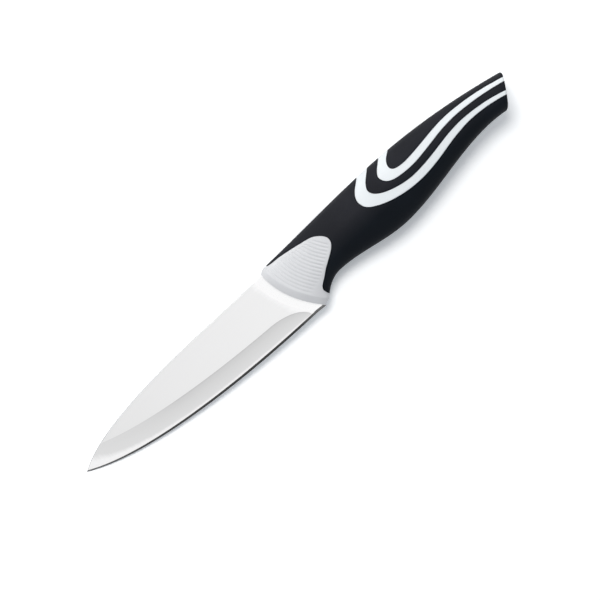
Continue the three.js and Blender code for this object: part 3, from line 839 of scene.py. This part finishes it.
# painted shade: the softened spine and the stock's edges are painted dark grey, darker towards the tip, so
# they show as a dark line
spineSteelPaintedShade = steelFinish({
    "name": "spineSteelPaintedShade", "ramp": alongBlade,
    "greys": [(0, 0.48), (0.5, 0.56), (0.9, 0.66)], "contrast": 0.05,
    "roughness": (0.3, 0.4), "stretch": lengthwise, "scale": 2600, "bump": 0.1,
})
whitePlasticPaintedShade = mouldedFinish({
    "name": "whitePlasticPaintedShade", "ramp": ("Object", (1, 0, 0), 0.016, 0.028),
    "from": ((0.67, 0.677, 0.694), (0.73, 0.737, 0.754)), "to": ((0.78, 0.82, 0.84), (0.84, 0.875, 0.895)),
    "roughness": (0.42, 0.54), "grain": 4200, "bump": 0.12, "specular": 0.3,
})  # painted shade: the ribbed collar is painted greyer than the stripes
blackRubberPaintedShading = mouldedFinish({
    "name": "blackRubberPaintedShading", "ramp": ("Object", (0, 1, 0), -0.0025, 0.0042),
    "from": ((0.005, 0.0066, 0.009), (0.009, 0.0118, 0.016)),
    "to": ((0.016, 0.0166, 0.02), (0.026, 0.027, 0.0325)),
    "roughness": (0.52, 0.70), "grain": 3400, "bump": 0.3, "specular": 0.05,
})  # painted light and shade: darker towards the belly, lighter towards the spine
steels = [satinSteelPaintedLight, groundSteelPaintedShading, honedSteelPaintedShade, ricassoSteel, spineSteelPaintedShade]  # in the order of the blade's faces
print("finishes done")


# making the pieces

sharpFrom = {"steel": 4, "white_plastic": 35, "black_rubber": 35}  # degrees between faces


def settle(piece, materials, node, slot):
    pick(piece)
    bpy.ops.object.mode_set(mode="EDIT")
    bpy.ops.mesh.select_all(action="SELECT")
    bpy.ops.transform.resize(value=[millimetre] * 3, center_override=(0, 0, 0))
    home = (bladeBox[0].x + bladeShape["length"] * millimetre, bladeBox[0].y - heel.y * millimetre,
            (bladeBox[0].z + bladeBox[1].z) / 2)
    bpy.ops.transform.translate(value=home)
    bpy.ops.object.mode_set(mode="OBJECT")
    bpy.ops.object.shade_smooth_by_angle(angle=radians(sharpFrom[slot]))
    kept = [face.material_index for face in piece.data.polygons]
    piece.data.materials.clear()
    for material in materials:
        piece.data.materials.append(material)
    piece.data.polygons.foreach_set("material_index", [min(n, len(materials) - 1) for n in kept])
    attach(piece, "root")
    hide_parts(node)


blade = makeBlade()
settle(blade, steels, "blade", "steel")
print("blade done")
core, sleeve, band, island = makeHandle()
settle(core, [whitePlasticPaintedShade], "handle_core", "white_plastic")
settle(sleeve, [blackRubberPaintedShading], "grip_sleeve", "black_rubber")
settle(band, [blackRubberPaintedShading], "grip_band", "black_rubber")
settle(island, [blackRubberPaintedShading], "grip_island", "black_rubber")


# table, light and camera

studio = {
    "view": (-0.00502, -0.00509), "turn": -43, "field": 0.20833, "height": 0.95, "sensor": 36,
    "tableSize": 6, "tableColour": (0.97, 0.97, 0.97), "glowTint": (0.9, 0.955, 1.0), "steepest": -0.2,
    "tableGlow": {"From Min": 0.25, "From Max": 1.1, "To Min": 0.25, "To Max": 1.12},
    "ambient": (0.90, 0.94, 1.0), "ambientLevel": 0.36,
    "keyPlace": (0.12, 0.33, 0.97), "keySize": 0.42, "keyPower": 6.4, "keyColour": (1.0, 0.985, 0.965),
    "sidePlace": (-0.3, 0.85, 0.45), "sideSize": 0.6, "sidePower": 2.2, "sideColour": (1.0, 0.99, 0.97),
}


def seenDirectly(tree):  # camera, glossy and transmission rays
    path = addNode(tree, "ShaderNodeLightPath")
    seen = calc(tree, "MAXIMUM", path.outputs["Is Camera Ray"], path.outputs["Is Glossy Ray"])
    return calc(tree, "MAXIMUM", seen, path.outputs["Is Transmission Ray"])


def lowest(pieces, slope):  # height over X = 0 of the highest table of this slope that clears the pieces
    return min(spot.co.z - slope * spot.co.x for piece in pieces for spot in piece.data.vertices)


def tableSlope():  # the knife lies on its belly and its tip, so the table is tipped to touch both
    def touchesTip(slope):
        return lowest([blade], slope) <= lowest([sleeve], slope)
    return halved(studio["steepest"], 0, touchesTip, steps=20)


def makeTable():
    deselectAll()
    slope = tableSlope()
    under = lowest([blade, core, sleeve, band, island], slope)
    bpy.ops.mesh.primitive_plane_add(
        size=studio["tableSize"], location=(0, 0, under), rotation=(0, -atan(slope), 0))
    print("table", round(slope, 4), round(under, 5))
    table = bpy.context.object
    table.name = "table"
    material, tree, shader = newFinish("tableTop")
    setSockets(shader, {
        "Base Color": (*studio["tableColour"], 1), "Roughness": 1, "Specular IOR Level": 0,
        # the glow is painted bluish, which shows as a bluish shadow by the knife
        "Emission Color": (*studio["glowTint"], 1),
    })
    away = addNode(tree, "ShaderNodeVectorMath", operation="LENGTH")
    tree.links.new(objectPlace(tree), away.inputs[0])
    glow = addNode(tree, "ShaderNodeMapRange")  # dim by the knife for its shadow, white far off
    setSockets(glow, studio["tableGlow"])
    tree.links.new(away.outputs["Value"], glow.inputs["Value"])
    strength = calc(tree, "MULTIPLY", seenDirectly(tree), glow.outputs["Result"])
    tree.links.new(strength, shader.inputs["Emission Strength"])
    table.data.materials.append(material)


def makeLight():
    scene = bpy.context.scene
    scene.world = scene.world or bpy.data.worlds.new("studio")
    scene.world.use_nodes = True
    tree = scene.world.node_tree
    tree.nodes.clear()
    ambient, backdrop = addNode(tree, "ShaderNodeBackground"), addNode(tree, "ShaderNodeBackground")
    setSockets(ambient, {"Color": (*studio["ambient"], 1), "Strength": studio["ambientLevel"]})
    setSockets(backdrop, {"Color": (1, 1, 1, 1)})
    both, out = addNode(tree, "ShaderNodeMixShader"), addNode(tree, "ShaderNodeOutputWorld")
    tree.links.new(seenDirectly(tree), both.inputs["Fac"])
    tree.links.new(ambient.outputs[0], both.inputs[1])
    tree.links.new(backdrop.outputs[0], both.inputs[2])
    tree.links.new(both.outputs[0], out.inputs["Surface"])
    makeLamp("key").visible_glossy = False  # its image would burn out the flat of the blade
    makeLamp("side")


def makeLamp(name):
    deselectAll()
    bpy.ops.object.light_add(type="AREA", location=studio[name + "Place"])
    lamp = bpy.context.object
    lamp.name = name + "Light"
    lamp.data.shape = "DISK"
    lamp.data.size = studio[name + "Size"]
    lamp.data.energy = studio[name + "Power"]
    lamp.data.color = studio[name + "Colour"]
    lamp.rotation_euler = (-Vector(studio[name + "Place"])).to_track_quat("-Z", "Y").to_euler()
    lamp.visible_camera = False
    return lamp


def makeCamera():
    deselectAll()
    place = (*studio["view"], studio["height"])
    bpy.ops.object.camera_add(location=place, rotation=(0, 0, radians(studio["turn"])))
    camera = bpy.context.object
    middle = (cadBox[0].z + cadBox[1].z) / 2
    camera.data.sensor_width = studio["sensor"]
    camera.data.lens = studio["sensor"] * (studio["height"] - middle) / studio["field"]
    camera.data.dof.use_dof = False
    bpy.context.scene.camera = camera


makeTable()
makeLight()
makeCamera()
bpy.context.scene.view_settings.view_transform = "Standard"
